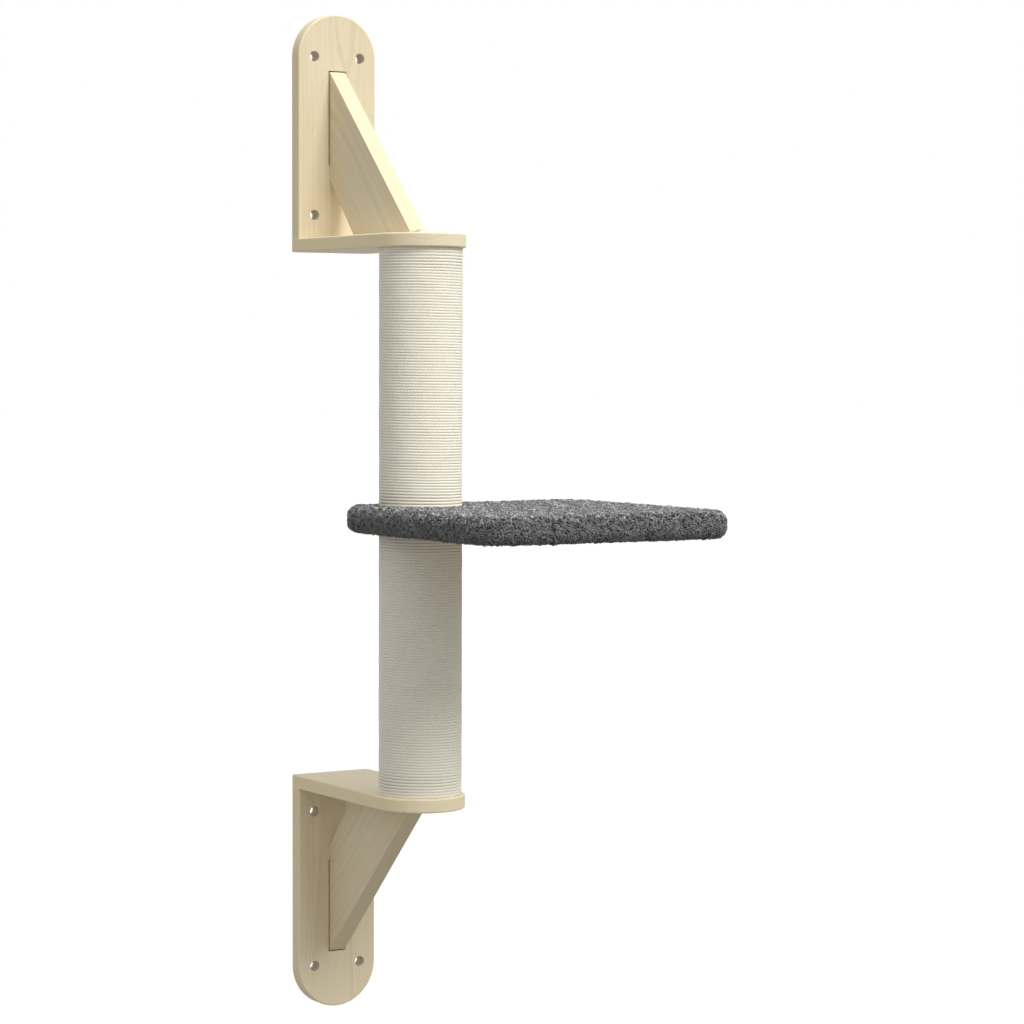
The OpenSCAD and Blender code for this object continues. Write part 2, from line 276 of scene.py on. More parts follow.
def pine(name, centre, along, across, heart, tone=1.0, outline=None, holes_at=None, painted_bounce=0.0):
    """Sanded pine. Growth rings are circles about a heart line that runs with the grain, bent by
    slow noise: ring number = (distance to the heart + bend) / ring spacing. heart is the line's
    place across the board and through it, and tone makes the board lighter or darker. outline is
    (half width, distance of the round end's centre along the grain, half thickness) of a board
    whose edges are lighter, partly from sanded wear and partly as a painted highlight, and whose
    side faces take a warmer tone, partly their own and partly painted bounce light. holes_at is
    where the middle of a plate's holes lies along the grain: their walls take painted shade.
    painted_bounce is how much of the end grain's tone a brace's thin faces take, as painted warm
    light bounced onto them."""
    wood = bpy.context.scene.cat_tree.wood
    f = finish(name)
    here = f.less(f.place(), centre)
    through = tuple(np.cross(along, across))
    a, t, l = (f.dot(here, axis) for axis in (across, through, along))

    def grained(squeeze, scale, detail, rough=0.5, start=0.0):
        """Noise that is drawn out along the grain by one over squeeze."""
        return f.noise(f.join(a, t, l * squeeze + start), scale, detail, rough)

    slow_bend, drift_bend = 0.010, 0.016
    slow = grained(0.12, 26.0, 2.0)
    drift = f.noise(f.join(l, 0.4 * a, heart[1]), 3.2, 1.0)
    bend = (slow - 0.5) * slow_bend + (drift - 0.5) * drift_bend
    out = ((a - heart[0]) ** 2 + (t - heart[1]) ** 2) ** 0.5 + bend
    # rings stand closer in some seasons, darken slowly and end sharply, and fade in places
    season = f.noise(f.join(out, 0.7, heart[0]), 95.0, 1.0)
    ring = out / wood.ring_spacing + (season - 0.5) * 5.0
    share = f.math("FRACT", ring)
    late = f.rise(share, 0.35, 0.86) * (1 - f.rise(share, 0.92, 1.0))
    uneven = f.noise(f.join(ring * 0.7, 0.3, l * 0.6), 1.3, 1.0)
    late = late * (f.rise(uneven, 0.30, 0.72) * 1.1 + 0.14)
    fibre = grained(0.022, 1150.0, 3.0, 0.6)
    streak = grained(0.03, 210.0, 2.0, 0.55)
    fleck = f.rise(grained(0.07, 820.0, 1.0), 0.70, 0.80)
    broad = grained(0.16, 17.0, 1.0, start=heart[0] * 9.0)
    normal = f.add("ShaderNodeNewGeometry", output="Normal")
    end = f.rise(abs(f.dot(normal, along)), 0.55, 1.0)
    sideways = abs(f.dot(normal, across))
    body = f.mix(f.rise(broad, 0.36, 0.66), toned(wood.light, tone), toned(wood.warm, tone))
    coats = [
        (late * 0.44, toned(wood.ring, tone)),
        ((streak - 0.38) * 0.5, toned(wood.streak, tone)),
        (fleck * 0.30, wood.fleck),
        (end * 0.06, toned(wood.end_grain, tone)),
        ((fibre - 0.5) * 0.34 + 0.06, toned(wood.fleck, 1.15)),
    ]
    rough = 0.60 + 0.16 * (fibre - 0.5) - 0.07 * late + 0.10 * end
    if outline:
        half, round_at, half_thick = outline
        past = f.math("MAXIMUM", l - round_at, 0.0)
        rim = (a**2 + past**2) ** 0.5
        # edges are lighter from sanded wear and from a painted highlight where the rounded edge
        # catches the light
        edge_wear_and_highlight = f.rise(rim, half - EDGE_WEAR_AND_HIGHLIGHT_FROM, half - EDGE_WEAR_AND_HIGHLIGHT_FULL)
        edge_wear_and_highlight = edge_wear_and_highlight * f.rise(abs(t), half_thick - EDGE_WEAR_AND_HIGHLIGHT_FROM, half_thick - EDGE_WEAR_AND_HIGHLIGHT_FULL)
        # painted bounce light: the boards' side faces take a warmer, lighter tone, partly their
        # side grain and partly warm light bounced from the wood
        coats.append((f.rise(sideways, 0.6, 1.0) * 0.25, toned(wood.edge, tone)))
        coats.append((edge_wear_and_highlight * 0.45, np.clip(toned(wood.light, 1.07), 0, 1)))
        rough = rough - 0.10 * edge_wear_and_highlight
    if holes_at is not None:
        # painted shade inside the screw holes: their walls are darkened
        off = ((abs(a) - HOLE_ACROSS) ** 2 + (abs(l - holes_at) - HOLE_ALONG) ** 2) ** 0.5
        hole_shade = 1 - f.rise(off, HOLE_RADIUS + 0.0002, HOLE_RADIUS + 0.0006)
        coats.append((hole_shade * 0.72, wood.hole_shade))
    if painted_bounce:
        # painted bounce light: a brace's thin faces take a warmer tone, standing in for light
        # bounced onto them from the wood
        painted_bounce_faces = 1 - f.rise(sideways, 0.3, 0.7)
        coats.append((painted_bounce_faces * painted_bounce, toned(wood.end_grain, tone)))
    height = 0.45 * fibre + 0.30 * late - 0.8 * fleck + 0.25 * streak
    return f.surface(
        Base_Color=f.coats(body, coats),
        Roughness=rough,
        Specular_IOR_Level=0.32,
        Normal=f.bump(height, 0.00016, 0.75),
    )


def turned_wood(name, paint, axis):
    """Dowels and plugs: plain hardwood with short pores along the grain, which runs along x, y or
    z as axis is 0, 1 or 2."""
    f = finish(name)
    parts = f.split(f.place())
    parts[axis] = parts[axis] * 0.05
    fibre = f.noise(f.join(*parts), 900.0, 3.0)
    wide = f.noise(f.join(*parts), 140.0, 2.0)
    body = f.mix(wide, toned(paint, 0.86), paint)
    return f.surface(
        Base_Color=f.mix(f.rise(fibre, 0.60, 0.72) * 0.4, body, toned(paint, 0.5)),
        Roughness=0.58 + 0.2 * (fibre - 0.5),
        Normal=f.bump(fibre, 0.0001, 0.6),
    )


def paper_tube(name, centre):
    """Kraft paper wound in a spiral: its seams climb one paper width a turn."""
    core = bpy.context.scene.cat_tree.core
    f = finish(name)
    x, y, z = f.split(f.less(f.place(), centre))
    turn = f.math("ARCTAN2", y, x) / (2 * math.pi)
    seam = f.math("FRACT", z / core.paper_width + turn)
    line = 1 - f.rise(abs(seam - 0.5), 0.0, 0.012)
    pulp = f.noise(f.join(x, y, z), 620.0, 4.0, 0.65)
    body = f.mix(pulp, toned(core.paper, 0.86), toned(core.paper, 1.1))
    return f.surface(
        Base_Color=f.mix(line * 0.6, body, toned(core.paper, 0.45)),
        Roughness=0.8 + 0.1 * (pulp - 0.5),
        Normal=f.bump(pulp * 0.5 - line, 0.0002, 0.6),
    )


def chipboard(name):
    """Pressed chips: flat cells of mixed tan tones, with fine dust between them."""
    core = bpy.context.scene.cat_tree.core
    f = finish(name)
    here = f.place()
    x, y, z = f.split(here)
    warp = f.noise(here, 140.0, 2.0)
    chips = f.cells(f.join(x + warp * 0.004, y + warp * 0.003, z * 2.2), 260.0)
    shade = f.split(chips)[0]
    small = f.split(f.cells(here, 900.0))[1]
    dust = f.noise(here, 1500.0, 3.0)
    body = f.mix(shade, toned(core.chips, 0.72), toned(core.chips, 1.2))
    coats = (
        (small * 0.35, toned(core.chips, 0.6)),
        (f.rise(dust, 0.5, 0.75) * 0.3, toned(core.chips, 1.35)),
    )
    return f.surface(
        Base_Color=f.coats(body, coats),
        Roughness=0.78 + 0.12 * (dust - 0.5),
        Normal=f.bump(shade * 0.5 + small * 0.3 + dust * 0.4, 0.00025, 0.7),
    )


def zinc(name):
    """Bright zinc plate: faint crystal blotches and fine drawing marks over metal."""
    metal = bpy.context.scene.cat_tree.metal
    f = finish(name)
    here = f.place()
    x, y, z = f.split(here)
    blotch = f.noise(here, 900.0, 3.0, 0.6)
    marks = f.noise(f.join(x, y, z * 0.2), 5200.0, 2.0)
    return f.surface(
        Base_Color=f.mix(blotch, toned(metal.plate, 0.88), metal.plate),
        Metallic=1.0,
        Roughness=0.42 + 0.16 * blotch + 0.06 * (marks - 0.5),
        Normal=f.bump(marks * 0.4 + blotch, 0.00004, 0.5),
    )


def sisal(name):
    """Laid sisal. On the map, x runs in metres along the rope and y once round it. Strand number
    = strands * (y + x / lay), so the strands climb round the rope, with hair-fine fibres along
    them."""
    rope = bpy.context.scene.cat_tree.rope
    f = finish(name)
    x, y, _ = f.split(f.uv("winding"))
    twist = y + x / rope.lay
    strand = abs(f.math("SINE", twist * (rope.strands * math.pi)))
    girth = math.pi * rope.pitch
    fibre = f.noise(f.join(twist * girth, x * 0.07, 0.0), 5200.0, 3.0, 0.65)
    broad = f.noise(f.join(twist * girth, x * 0.22, 4.0), 900.0, 2.0)
    blotch = f.noise(f.place(), 46.0, 2.0)
    # painted shade: the rope is darker between the strands
    strand_shade = 1 - f.rise(strand, 0.0, 0.55)
    body = f.mix(f.rise(fibre, 0.3, 0.7), rope.shade, rope.light)
    coats = (
        (f.rise(broad, 0.55, 0.8) * 0.4, rope.straw),
        (strand_shade * 0.35, rope.strand_shade),
        ((blotch - 0.35) * 0.35, rope.straw),
    )
    return f.surface(
        Base_Color=f.coats(body, coats),
        Roughness=0.78 + 0.12 * (fibre - 0.5),
        Specular_IOR_Level=0.25,
        Sheen_Weight=0.12,
        Sheen_Roughness=0.4,
        Normal=f.bump(strand * 0.7 + fibre * 0.45, 0.00022, 0.8),
    )


def plush_finish(name):
    """Heathered pile. On the map, x is each tuft's own tone and y runs from its root to its tip;
    the backing cloth under the tufts has y = 0. Each tuft is darkened towards its root, and the
    cloth with it, as painted shade."""
    plush = bpy.context.scene.cat_tree.plush
    f = finish(name)
    tone, up, _ = f.split(f.uv("pile"))
    clump = f.noise(f.place(), 135.0, 1.0, 0.5)
    stops = (
        (0.0, plush.dark), (1.0, plush.fleck), (0.30, plush.dark),
        (0.72, plush.middle), (0.88, plush.middle), (0.95, plush.fleck),
    )
    body = f.ramp(tone + (clump - 0.5) * 0.20, stops)
    patch = f.noise(f.place(), 120.0, 2.0, 0.6)
    coats = (
        ((patch - 0.3) * 0.3, plush.dark),
        # painted shade: darker towards the tufts' roots and on the cloth
        ((1 - f.rise(up, 0.0, 0.85)) * 0.12, toned(plush.dark, 0.6)),
    )
    return f.surface(
        Base_Color=f.coats(body, coats),
        Roughness=0.92 + 0.06 * (patch - 0.5),
        Specular_IOR_Level=0.15,
        Sheen_Weight=0.18,
        Sheen_Roughness=0.45,
        Normal=f.bump(f.noise(f.place(), 2600.0, 2.0), 0.0003, 0.5),
    )


# Shapes


def waves(points, size, seed, count=18):
    """Smooth noise about 0, with bumps of this size: the mean of plane waves in seeded random
    directions."""
    draw = np.random.default_rng(seed)
    ways = draw.normal(size=(count, 3))
    turns = (2 * np.pi / size) * draw.uniform(0.6, 1.4, (count, 1))
    ways *= turns / np.linalg.norm(ways, axis=1, keepdims=True)
    total = np.zeros(len(points))
    for way, start in zip(ways, draw.uniform(0, 2 * np.pi, count)):
        total += np.cos(points @ way + start)
    return total * math.sqrt(2 / count)


def grid_quads(rows, columns, first=0):
    """Corner numbers of the quads between neighbouring rows and columns of a grid of points. The
    last column joins the first."""
    r, c = np.meshgrid(np.arange(rows - 1), np.arange(columns), indexing="ij")
    r, c, after = r.ravel(), c.ravel(), (c.ravel() + 1) % columns
    row, below = r * columns, (r + 1) * columns
    return first + np.stack([row + c, row + after, below + after, below + c], 1)


def quad_map(x0, x1, y0, y1):
    """Map places of the corners of quads, each from x0 to x1 and from y0 to y1."""
    return np.stack([np.stack(c, 1) for c in ((x0, y0), (x0, y1), (x1, y1), (x1, y0))], 1)


def new_piece(name, points, face_sets, material, maps=None):
    """A mesh object at the origin. face_sets are arrays of equal-sided faces, and maps holds for
    each map's name one array of corner places in the same order."""
    mesh = bpy.data.meshes.new(name)
    corners = np.concatenate([faces.ravel() for faces in face_sets]).astype(np.int32)
    sides = np.concatenate([np.full(len(faces), faces.shape[1]) for faces in face_sets])
    starts = np.concatenate([[0], np.cumsum(sides)[:-1]]).astype(np.int32)
    mesh.vertices.add(len(points))
    mesh.vertices.foreach_set("co", np.asarray(points, np.float32).ravel())
    mesh.loops.add(len(corners))
    mesh.loops.foreach_set("vertex_index", corners)
    mesh.polygons.add(len(sides))
    mesh.polygons.foreach_set("loop_start", starts)
    mesh.polygons.foreach_set("use_smooth", np.full(len(sides), True))
    for key, places in (maps or {}).items():
        spots = np.concatenate([p.reshape(-1, 2) for p in places]).astype(np.float32)
        mesh.uv_layers.new(name=key).data.foreach_set("uv", spots.ravel())
    mesh.update(calc_edges=True)
    mesh.validate()
    piece = bpy.data.objects.new(name, mesh)
    bpy.context.scene.collection.objects.link(piece)
    mesh.materials.append(material)
    return piece


def settle(piece, nodes):
    """The piece rides with the object and stands for these CAD nodes, which are hidden."""
    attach(piece, "root")
    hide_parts(*nodes)
    return piece


def dress(material, *nodes):
    """Gives CAD nodes a finish, and leaves their shapes alone."""
    for node in nodes:
        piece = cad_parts[node]
        if not piece.data.materials:
            piece.data.materials.append(material)
        for spot in piece.material_slots:
            spot.link = "OBJECT"
            spot.material = material


def smooth(share):
    """A smooth step from 0 to 1, level at both ends."""
    share = np.clip(share, 0, 1)
    return share * share * (3 - 2 * share)


def turns_down(wound):
    """How many ropes down the winding has come. The first turn lies level against the arm and
    steps over to the next at the end of the turn. In each later turn more of the step is spread
    over the whole turn, until the winding falls evenly: n + w f + (1 - w) smooth(...), with f the
    share of turn n and w growing from 0 to 1 over the settling turns."""
    turn = np.floor(wound)
    share = wound - turn
    even = smooth(turn / SETTLE_TURNS)
    return turn + even * share + (1 - even) * smooth((share - 1) / STEP_OVER + 1)


def wound_rope(name, node, material):
    """One unbroken rope wound down a post from arm to arm, with both ends on the wall's side. Its
    middle is (R cos t, R sin t, top - pitch * turns down), and its section is an ellipse that is
    pressed flat where it touches its neighbours. Each end is thinned to the room that the next
    turn leaves beside it. Slow waves swell and shift it a little, as hand winding does."""
    rope = bpy.context.scene.cat_tree.rope
    low, high = (np.array(v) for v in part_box(node))
    axis, outer = (low + high) / 2, (high[0] - low[0]) / 2
    turns = round((high[2] - low[2]) / rope.pitch - 1)
    pitch = (high[2] - low[2]) / (turns + 1)
    tall, deep = pitch / 2, rope.thickness / 2
    # the section has most of its corners on the side that shows, and a corner where the flat
    # begins. Its angles are in degrees from straight outwards
    flat_from, back = math.degrees(math.asin(1 / rope.fullness)), 155
    show = np.linspace(-flat_from, flat_from, 7)
    section = np.concatenate([[-back, flat_from - 180], show, [180 - flat_from, back]])
    section = np.radians(section)
    per_turn, sides = rope.segments, len(section)
    end = round(STEP_OVER * per_turn)
    count = turns * per_turn + 2 * end
    wound = np.arange(-end, count - end + 1) / per_turn
    even = wound.clip(0, turns)
    down = np.where(even < turns / 2, turns_down(even), turns - turns_down(turns - even))
    beyond = np.maximum(-wound, wound - turns).clip(0, 1)
    thinnest = 0.03
    room = np.where(beyond > 0, turns_down(1 - beyond), 1.0).clip(thinnest, 1.0)
    tall = tall * room
    deep_now = deep * (0.45 + 0.55 * room)
    angle = np.pi / 2 + 2 * np.pi * wound
    # waves are drawn on a cylinder of 40 mm: 1.6% of thickness, and 0.07 mm up and outwards
    spots = np.stack([np.cos(angle) * 0.04, np.sin(angle) * 0.04, -pitch * down], 1)
    swell = waves(spots, 0.016, 5) * 0.016
    shift = waves(spots, 0.03, 9) * 0.00007
    sunk = waves(spots, 0.022, 13) * 0.00007
    radius = outer - 2 * deep + deep_now + sunk
    height = np.where(wound > turns, low[2] + tall, high[2] - tall - pitch * down) + shift
    height = np.clip(height, low[2] + tall, high[2] - tall)
    middle = [axis[0] + radius * np.cos(angle), axis[1] + radius * np.sin(angle), height]
    middle = np.stack(middle, 1)
    out = np.stack([np.cos(angle), np.sin(angle), np.zeros_like(angle)], 1)
    up = np.array([0.0, 0.0, 1.0])
    rise = np.clip(rope.fullness * np.sin(section), -1, 1)
    ring = (
        middle[:, None]
        + (np.cos(section)[None, :, None] * (deep_now * (1 + swell))[:, None, None]) * out[:, None]
        + rise[None, :, None] * tall[:, None, None] * up
    )
    points = np.concatenate([ring.reshape(-1, 3), middle[[0, -1]]])
    quads = grid_quads(count + 1, sides)
    # each end is closed by triangles about the rope's middle
    around = np.arange(sides)
    after = (around + 1) % sides
    first, last = len(points) - 2, count * sides
    lids = np.concatenate(
        [
            np.stack([np.full(sides, first), after, around], 1),
            np.stack([np.full(sides, first + 1), last + around, last + after], 1),
        ]
    )
    step = 2 * np.pi * (outer - deep) / per_turn
    r, c = np.divmod(np.arange(len(quads)), sides)
    v0, v1 = c / sides, (c + 1) / sides
    # a baked picture holds one strip for each turn, and the lids above them
    turn, part = np.divmod(r, per_turn)
    b0, b1 = ((turn + v * 0.96 + 0.02) / (turns + 1) * 0.99 for v in (v0, v1))
    lid_map = np.zeros((len(lids), 3, 2))
    lid_bake = lid_map + np.array([[0.0, 0.992], [0.02, 0.999], [0.04, 0.992]])
    piece = new_piece(
        name, points, [quads, lids], material,
        {
            "winding": [quad_map(r * step, (r + 1) * step, v0, v1), lid_map],
            "OFBake": [quad_map(part / per_turn, (part + 1) / per_turn, b0, b1), lid_bake],
        },
    )
    return settle(piece, [node])


def slab_frame(count):
    """The places round a rectangle with round corners, free of its size. Returns for each place
    the corner signs of the point on the inner rectangle, sliding along the sides, and the outward
    normal."""
    plush = bpy.context.scene.cat_tree.plush
    low, high = (np.array(v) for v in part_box("platform_cover"))
    half = (high - low)[:2] / 2 - plush.corner
    arc = plush.corner * np.pi / 2
    lengths = np.array([2 * half[1], arc, 2 * half[0], arc] * 2)
    shares = np.maximum((count * lengths / lengths.sum()).round().astype(int), 6)
    signs, normals = [], []
    corners = np.array([[1, -1], [1, 1], [-1, 1], [-1, -1], [1, -1]], float)
    for side in range(4):
        t = np.linspace(0, 1, shares[2 * side], endpoint=False)[:, None]
        signs.append(corners[side] * (1 - t) + corners[side + 1] * t)
        turn = side * np.pi / 2
        normals.append(np.tile([math.cos(turn), math.sin(turn)], (len(t), 1)))
        t = np.linspace(0, 1, shares[2 * side + 1], endpoint=False)
        signs.append(np.tile(corners[side + 1], (len(t), 1)))
        normals.append(np.stack([np.cos(turn + t * np.pi / 2), np.sin(turn + t * np.pi / 2)], 1))
    return np.concatenate(signs), np.concatenate(normals)


def slab_rows(signs, normals, inset):
    """Rows of points over the slab, this far inside the pile's surface: from the hole round the
    post, over the top, round the rim and under the board to where the cloth ends. Every row has
    one point at each place of slab_frame."""
    plush = bpy.context.scene.cat_tree.plush
    low, high = (np.array(v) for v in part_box("platform_cover"))
    board_low, _ = (np.array(v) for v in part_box("platform_board"))
    post_low, post_high = (np.array(v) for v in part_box("upper_post_rope"))
    centre, half = ((low + high) / 2)[:2], ((high - low) / 2)[:2]
    post, hole = ((post_low + post_high) / 2)[:2], (post_high[0] - post_low[0]) / 2 + POST_GAP
    edge = plush.edge
    rim_rows, under_rows = 9, 11

    def outline(reach):
        corner = plush.corner - reach
        return centre + signs * (half - reach - corner) + normals * corner

    def level(flat, z):
        return np.concatenate([flat, np.full((len(flat), 1), z)], 1)

    rows = []
    shoulder = outline(edge)
    toward = shoulder - post
    start = post + toward / np.linalg.norm(toward, axis=1, keepdims=True) * hole
    for t in np.linspace(0, 1, plush.rows) ** 0.9:
        rows.append(level(start * (1 - t) + shoulder * t, high[2] - inset))
    arc = edge - inset
    for tilt in np.linspace(90, 0, rim_rows)[1:] * np.pi / 180:
        reach = edge - arc * math.cos(tilt)
        rows.append(level(outline(reach), high[2] - edge + arc * math.sin(tilt)))
    under = min(inset, plush.under_pile - plush.proud)
    bottom = low[2] + under
    drop = low[2] + edge - bottom
    for tilt in np.linspace(0, -90, rim_rows) * np.pi / 180:
        reach = edge - arc * math.cos(tilt)
        rows.append(level(outline(reach), low[2] + edge + drop * math.sin(tilt)))
    hem = outline(board_low[0] - low[0] + plush.turn_under)
    for t in np.linspace(0, 1, under_rows)[1:]:
        flat = shoulder * (1 - t) + hem * t
        away = flat - post
        far = np.linalg.norm(away, axis=1, keepdims=True)
        flat = np.where(far < hole, post + away / far * hole, flat)
        rows.append(level(flat, bottom))
    return np.array(rows)


def backing_cloth(plush):
    """A lumpy sheet over the slab, and the same sheet one cloth thickness in, so the cover is
    closed at both hems. Returns the outer points, the way each faces, the inner points, the outer
    quads with their cross products, the inner quads and those of the hems, and the numbers of
    rows and columns."""
    outer = slab_rows(*slab_frame(plush.columns), plush.pile - plush.proud)
    rows, columns = outer.shape[:2]
    cloth = outer.reshape(-1, 3)
    quads = grid_quads(rows, columns)[:, ::-1]
    corner = cloth[quads]
    cross = np.cross(corner[:, 2] - corner[:, 0], corner[:, 3] - corner[:, 1])
    facing = np.zeros_like(cloth)
    for k in range(4):
        np.add.at(facing, quads[:, k], cross)
    facing /= np.maximum(np.linalg.norm(facing, axis=1, keepdims=True), 1e-12)
    cloth = cloth + facing * (waves(cloth, 0.011, 3) * 0.00035)[:, None]
    inner = cloth - facing * plush.cloth
    back = grid_quads(rows, columns, len(cloth))
    seam = np.arange(columns)
    after = (seam + 1) % columns
    last = (rows - 1) * columns
    hems = np.concatenate(
        [
            np.stack([a, b, len(cloth) + b, len(cloth) + a], 1)
            for a, b in ((seam, after), (last + after, last + seam))
        ]
    )
    return cloth, facing, inner, quads, cross, back, hems, (rows, columns)


def tufts(plush, draw, cloth, facing, quads, cross):
    """Bent, tapering tufts of seven points: three at the root, three higher up, and the tip. A
    tuft's middle is root + N tall h (1 - 0.22 lean h) + L tall 0.8 lean h^2 + S tall curl
    sin(0.9 pi h), where h is 0 at the root and 1 at the tip, N is the cloth's normal, L the way
    the tuft leans and S across both. Returns the points of each tuft, its root and N."""
    wanted = plush.tufts
    # roots are spread evenly by area, and thinner under the board
    area = np.linalg.norm(cross, axis=1)
    area = area * np.where(cross[:, 2] < UNDER * area, 0.55, 1.0)
    places = (np.arange(wanted) + draw.random(wanted)) / wanted
    pick = np.searchsorted(np.cumsum(area) / area.sum(), places)
    pick = np.minimum(pick, len(quads) - 1)
    u, v = draw.random((2, wanted, 1))
    four = quads[pick]
    weights = [(1 - u) * (1 - v), (1 - u) * v, u * v, u * (1 - v)]
    root = sum(w * cloth[four[:, k]] for k, w in enumerate(weights))
    normal = sum(w * facing[four[:, k]] for k, w in enumerate(weights))
    normal /= np.linalg.norm(normal, axis=1, keepdims=True)
    # neighbours lean the same way, so the pile lies in small locks, and hangs a little
    hang = 0.35
    lock = np.stack([waves(root, 0.0065, 20 + k) for k in range(3)], 1)
    lock += 0.9 * draw.normal(size=lock.shape)
    lock[:, 2] -= hang
    lock -= normal * (lock * normal).sum(1, keepdims=True)
    lock /= np.maximum(np.linalg.norm(lock, axis=1, keepdims=True), 1e-9)
    side = np.cross(normal, lock)
    # on the rim, where flat is 0, tufts are more even in height, lean more and are thicker
    flat = abs(normal[:, 2])
    ragged = 0.09 * waves(root, 0.008, 31) + 0.12 * draw.normal(size=wanted)
    ragged = (0.4 + 0.6 * flat) * ragged
    tall = np.where(normal[:, 2] < UNDER, plush.under_pile, plush.pile)
    tall = tall * (1.0 + ragged).clip(0.55, 1.4)
    lean = draw.uniform(0.4, 1.0, wanted) + 0.5 * (1 - flat)
    thick = plush.tuft_width / 2 * draw.uniform(0.75, 1.25, wanted) * (1.3 - 0.3 * flat)
    spin = draw.uniform(0, 2 * np.pi, wanted)
    curl = draw.uniform(-0.3, 0.3, wanted)
    rings = []
    for h, w in zip(TUFT_HEIGHTS, TUFT_WIDTHS):
        middle = (
            root
            + normal * (tall * h * (1 - 0.22 * lean * h))[:, None]
            + lock * (tall * lean * h * h * 0.8)[:, None]
            + side * (tall * curl * math.sin(math.pi * h * 0.9))[:, None]
        )
        for k in range(3 if w else 1):
            turn = spin + 2 * np.pi * k / 3
            spoke = np.cos(turn)[:, None] * lock + np.sin(turn)[:, None] * side
            rings.append(middle + spoke * (thick * w)[:, None])
    return np.stack(rings, 1), root, normal


def plush_cover(name, material):
    """The platform's cover: a lumpy backing cloth with a closed inner side, and a pile of tufts.
    """
    plush = bpy.context.scene.cat_tree.plush
    wanted = plush.tufts
    draw = np.random.default_rng(41)
    cloth, facing, inner, quads, cross, back, hems, (rows, columns) = backing_cloth(plush)
    pile, root, normal = tufts(plush, draw, cloth, facing, quads, cross)
    points = np.concatenate([cloth, inner, pile.reshape(-1, 3)])
    first = 2 * len(cloth) + 7 * np.arange(wanted)[:, None]
    walls = np.array([[k, (k + 1) % 3, 3 + (k + 1) % 3, 3 + k] for k in range(3)])
    tips = np.array([[3 + k, 3 + (k + 1) % 3, 6] for k in range(3)] + [[2, 1, 0]])
    walls_all = (first[:, :, None] + walls[None]).reshape(-1, 4)
    tips_all = (first[:, :, None] + tips[None]).reshape(-1, 3)
    # tufts of one tone stand together in curls of a few millimetres. The tone varies most on top
    # and least on the rim and underneath, partly the pile's own heathering and partly painted
    # light: the speckled shading of curls lit from above
    spread = 0.15 + 0.85 * normal[:, 2].clip(0, 1)
    curls = waves(root, 0.0055, 61, 30)
    tone = 0.44 + spread * (0.06 + 0.26 * curls + 0.14 * draw.normal(size=wanted))
    tone = tone.clip(0.0, 1.0)
    level = np.repeat(TUFT_HEIGHTS, [3, 3, 1])

    def pile_map(shape):
        x = np.broadcast_to(tone[:, None, None], (wanted, *shape.shape))
        y = np.broadcast_to(level[shape][None], x.shape)
        return np.stack([x, y], -1)

    # each tuft has a cell of its own for a baked picture, above the strips of the cloth
    strips = 0.2
    across = int(math.ceil(math.sqrt(wanted / (1 - strips))))
    down = int(math.ceil(wanted / across))
    row, column = np.divmod(np.arange(wanted), across)
    cell = np.stack([column / across, strips + (1 - strips) * row / down], 1)
    cell_size = np.array([1 / across, (1 - strips) / down])

    def bake_map(shape, lid):
        spot = np.zeros((*shape.shape, 2))
        for n, face in enumerate(shape):
            k = n % 3
            for m, c in enumerate(face):
                wide = (k + (m in (1, 2) if len(face) == 4 else m == 1)) / 3
                tip = (k + 0.5) / 3 if c == 6 else wide
                spot[n, m] = (0.06 + 0.86 * tip, 0.06 + 0.8 * level[c])
        if lid:
            spot[-1] = [[0.1, 0.01], [0.5, 0.05], [0.9, 0.01]]
        return cell[:, None, None] + spot[None] * cell_size

    # the cloth has one tone, and its outer side, inner side and hems have a strip each
    cloth_map = np.zeros((len(quads) * 2 + len(hems), 4, 2))
    cloth_map[..., 0] = 0.2
    r, c = np.divmod(np.arange(len(quads)), columns)
    sheet = quad_map(c / columns, (c + 1) / columns, r / (rows - 1), (r + 1) / (rows - 1))
    sheet = np.roll(sheet, -1, axis=1)
    face_bake = sheet * [1.0, 0.12]
    back_bake = sheet[:, ::-1] * [1.0, 0.05] + [0.0, 0.13]
    hem_bake = np.zeros((len(hems), 4, 2))
    hem_bake += [[0.0, 0.185], [0.9, 0.185], [0.9, 0.19], [0.0, 0.19]]
    cloth_bake = [face_bake, back_bake, hem_bake]
    piece = new_piece(
        name, points, [quads, back, hems, walls_all, tips_all], material,
        {
            "pile": [cloth_map, pile_map(walls), pile_map(tips)],
            "OFBake": [*cloth_bake, bake_map(walls, False), bake_map(tips, True)],
        },
    )
    return settle(piece, ["platform_cover"])


# Settings


class CATTREE_PG_wood(PropertyGroup):
    light: colour("Pale wood", "Wood between the rings", 234, 222, 191)
    warm: colour("Warm wood", "Slightly warmer wood towards the heart", 233, 218, 186)
    ring: colour("Rings", "Late wood of each ring", 213, 197, 158)
    streak: colour("Streaks", "Broad darker streaks", 219, 205, 171)
    # a warm tone for the boards' side faces, partly their own and partly painted bounce light
    edge: colour("Edges", "Sides of the boards", 244, 222, 160)
    fleck: colour("Flecks", "Resin lines and fibre shadows", 176, 150, 112)
    end_grain: colour("End grain", "Wood across the grain", 215, 197, 160)
    # painted shade on the walls of the drilled holes
    hole_shade: colour("Holes", "Walls of the drilled holes", 202, 193, 172)
    ring_spacing: length("Ring spacing", "Distance between growth rings", 0.0034, 0.001, 0.01)


